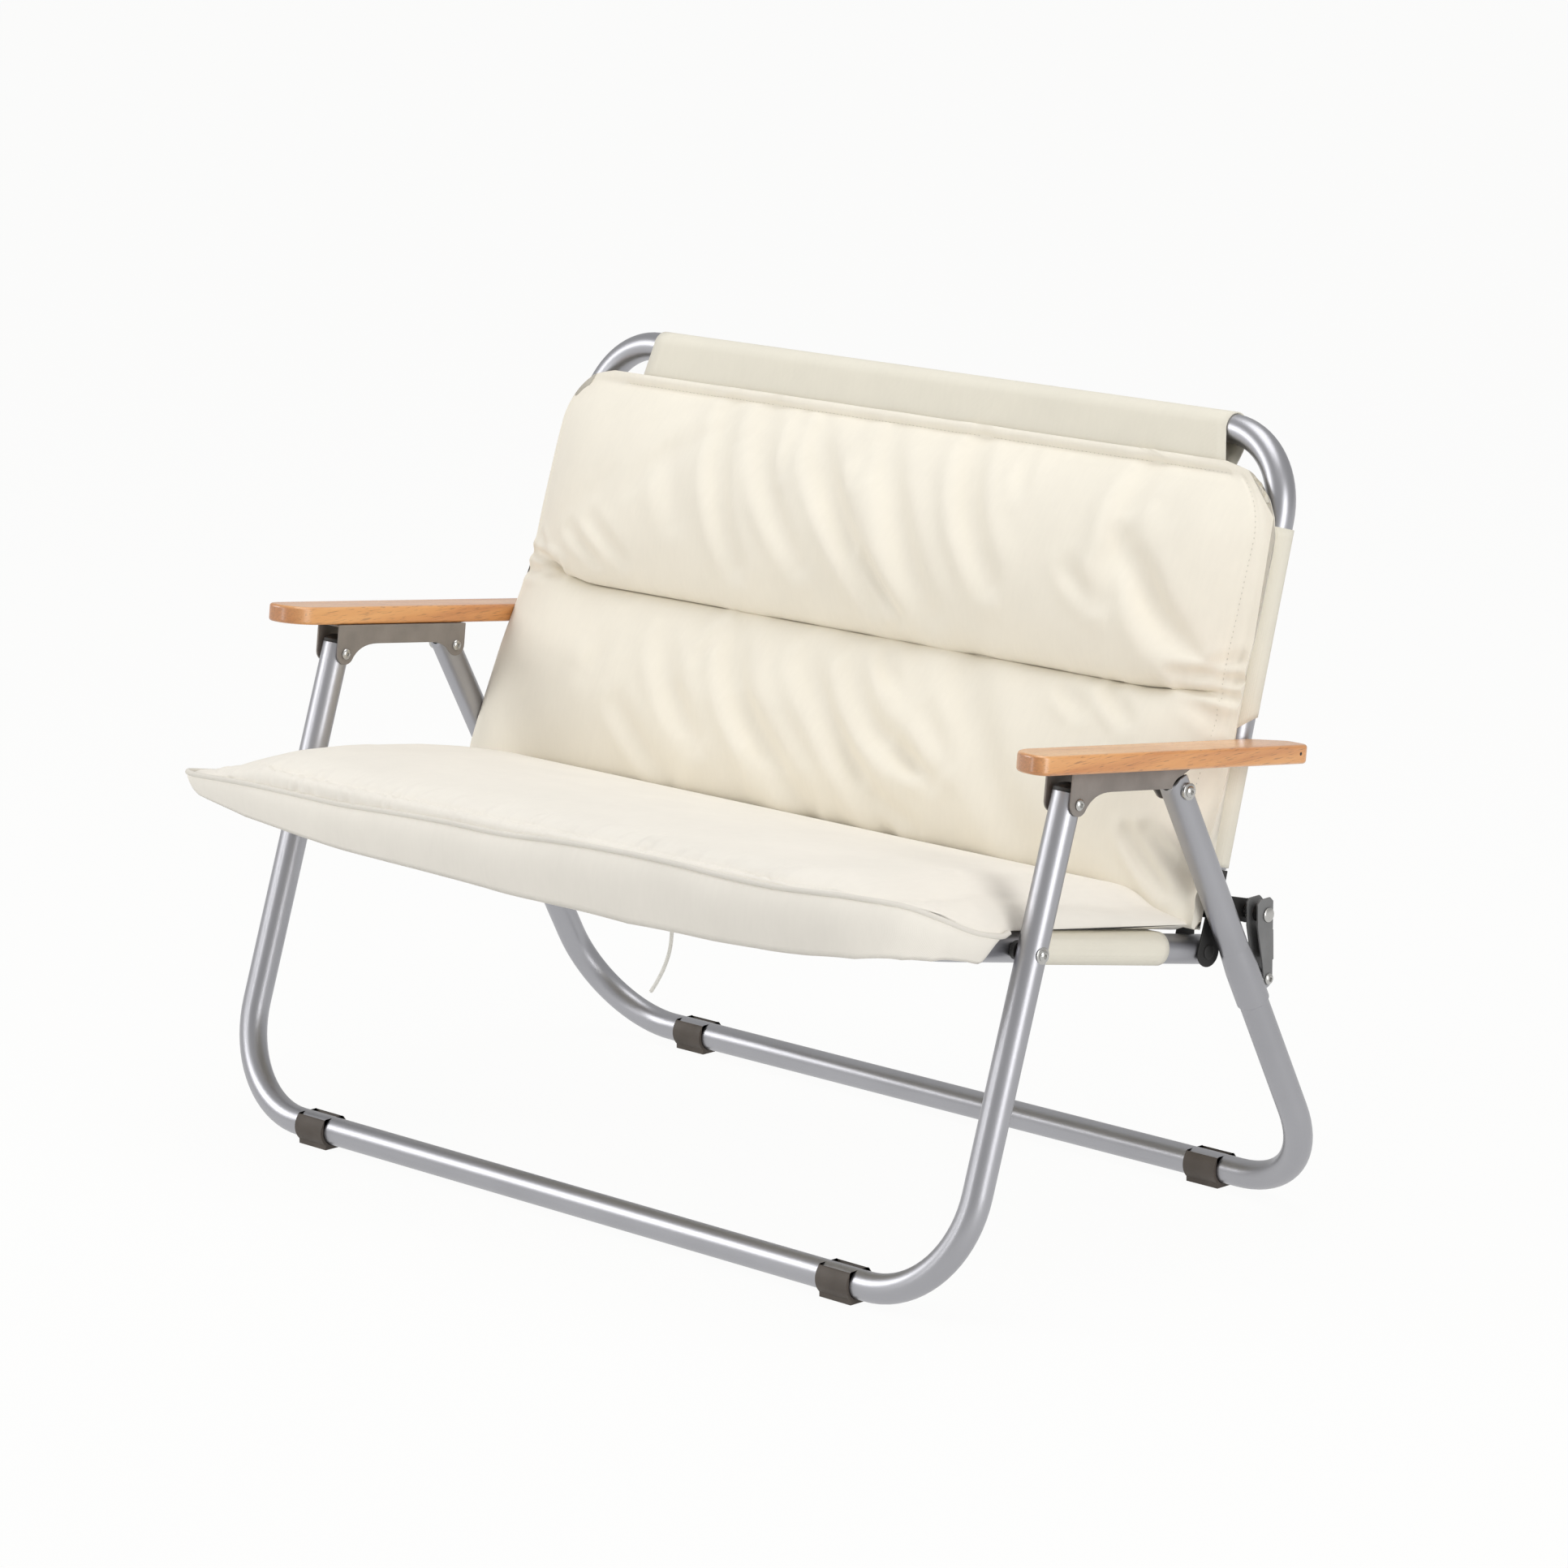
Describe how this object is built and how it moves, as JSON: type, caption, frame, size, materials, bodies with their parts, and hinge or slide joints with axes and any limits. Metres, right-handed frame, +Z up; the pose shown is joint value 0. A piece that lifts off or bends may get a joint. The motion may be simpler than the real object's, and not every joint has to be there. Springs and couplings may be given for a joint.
{
  "type": "folding loveseat",
  "caption": "Folding camping loveseat: bent tube frames, wooden arms on pivoting brackets, sling seat and back with padded cushions.",
  "frame": {"origin": "middle of the footprint, on the floor", "axes": "+X to the right seen from the front, -Y the way the sitter faces, +Z up"},
  "size_m": [1.064, 0.6126, 0.7572],
  "materials": {
    "tube": "satin anodised",
    "foot": "moulded taupe",
    "arm_wood": "oiled",
    "bracket": "satin taupe grey",
    "fastener": "bright",
    "black_fitting": "moulded black",
    "link": "satin dark grey",
    "cushion_cloth": "cream padded cloth",
    "canvas": "cream canvas",
    "cord": "white braided cord"
  },
  "bodies": {
    "rear_legs": {"rear_frame": "tube", "rear_foot_left": "foot", "rear_foot_right": "foot", "link_collar_left": "tube", "link_collar_right": "tube", "rear_leg_plug_left": "black_fitting", "rear_leg_plug_right": "black_fitting"},
    "arms": {"armrest_left": "arm_wood", "armrest_right": "arm_wood", "arm_bracket_left": "bracket", "arm_bracket_right": "bracket", "arm_front_bolt_left": "fastener", "arm_front_bolt_right": "fastener", "arm_rear_bolt_left": "fastener", "arm_rear_bolt_right": "fastener"},
    "front_legs": {"front_frame": "tube", "front_foot_left": "foot", "front_foot_right": "foot", "front_leg_plug_left": "black_fitting", "front_leg_plug_right": "black_fitting", "seat_bolt_left": "fastener", "seat_bolt_right": "fastener", "seat_spacer_left": "black_fitting", "seat_spacer_right": "black_fitting"},
    "links": {"link_left": "link", "link_right": "link", "link_bush_left": "black_fitting", "link_bush_right": "black_fitting", "link_top_pin_left": "fastener", "link_top_pin_right": "fastener", "link_foot_pin_left": "fastener", "link_foot_pin_right": "fastener"},
    "back": {"back_frame": "tube", "hinge_bracket_left": "black_fitting", "hinge_bracket_right": "black_fitting", "hinge_pin_left": "fastener", "hinge_pin_right": "fastener", "back_panel": "canvas", "back_sleeve_upper_left": "canvas", "back_sleeve_upper_right": "canvas", "back_sleeve_lower_left": "canvas", "back_sleeve_lower_right": "canvas", "back_cushion": "cushion_cloth"},
    "seat": {"seat_frame": "tube", "rail_plug_left": "black_fitting", "rail_plug_right": "black_fitting", "seat_sling": "canvas", "rail_sleeve_left": "canvas", "rail_sleeve_right": "canvas", "seat_cushion": "cushion_cloth", "tie_cord": "cord"}
  },
  "joints": [
    {"name": "arm_fold", "type": "hinge", "parent": "rear_legs", "child": "arms", "pos_m": [0, 0.07384, 0.446], "axis": [-1, 0, 0], "range_deg": [0, 45.94]},
    {"name": "front_leg_fold", "type": "hinge", "parent": "arms", "child": "front_legs", "pos_m": [0, -0.07416, 0.458], "axis": [1, 0, 0], "range_deg": [0, 85.56]},
    {"name": "link_swing", "type": "hinge", "parent": "rear_legs", "child": "links", "pos_m": [0, 0.19621, 0.24671], "axis": [-1, 0, 0], "range_deg": [0, 42.09]},
    {"name": "back_fold", "type": "hinge", "parent": "links", "child": "back", "pos_m": [0, 0.19482, 0.3082], "axis": [1, 0, 0], "range_deg": [0, 76.56], "deforming": ["back_cushion"]},
    {"name": "seat_fold", "type": "hinge", "parent": "back", "child": "seat", "pos_m": [0, 0.14086, 0.27821], "axis": [-1, 0, 0], "range_deg": [0, 70.69], "deforming": ["seat_cushion"]}
  ],
  "couplings": [
    {"joint": "front_leg_fold", "follows": "arm_fold", "ratio": 1.862},
    {"joint": "link_swing", "follows": "arm_fold", "ratio": 0.91585},
    {"joint": "back_fold", "follows": "arm_fold", "ratio": 1.666},
    {"joint": "seat_fold", "follows": "arm_fold", "ratio": 1.5383}
  ]
}
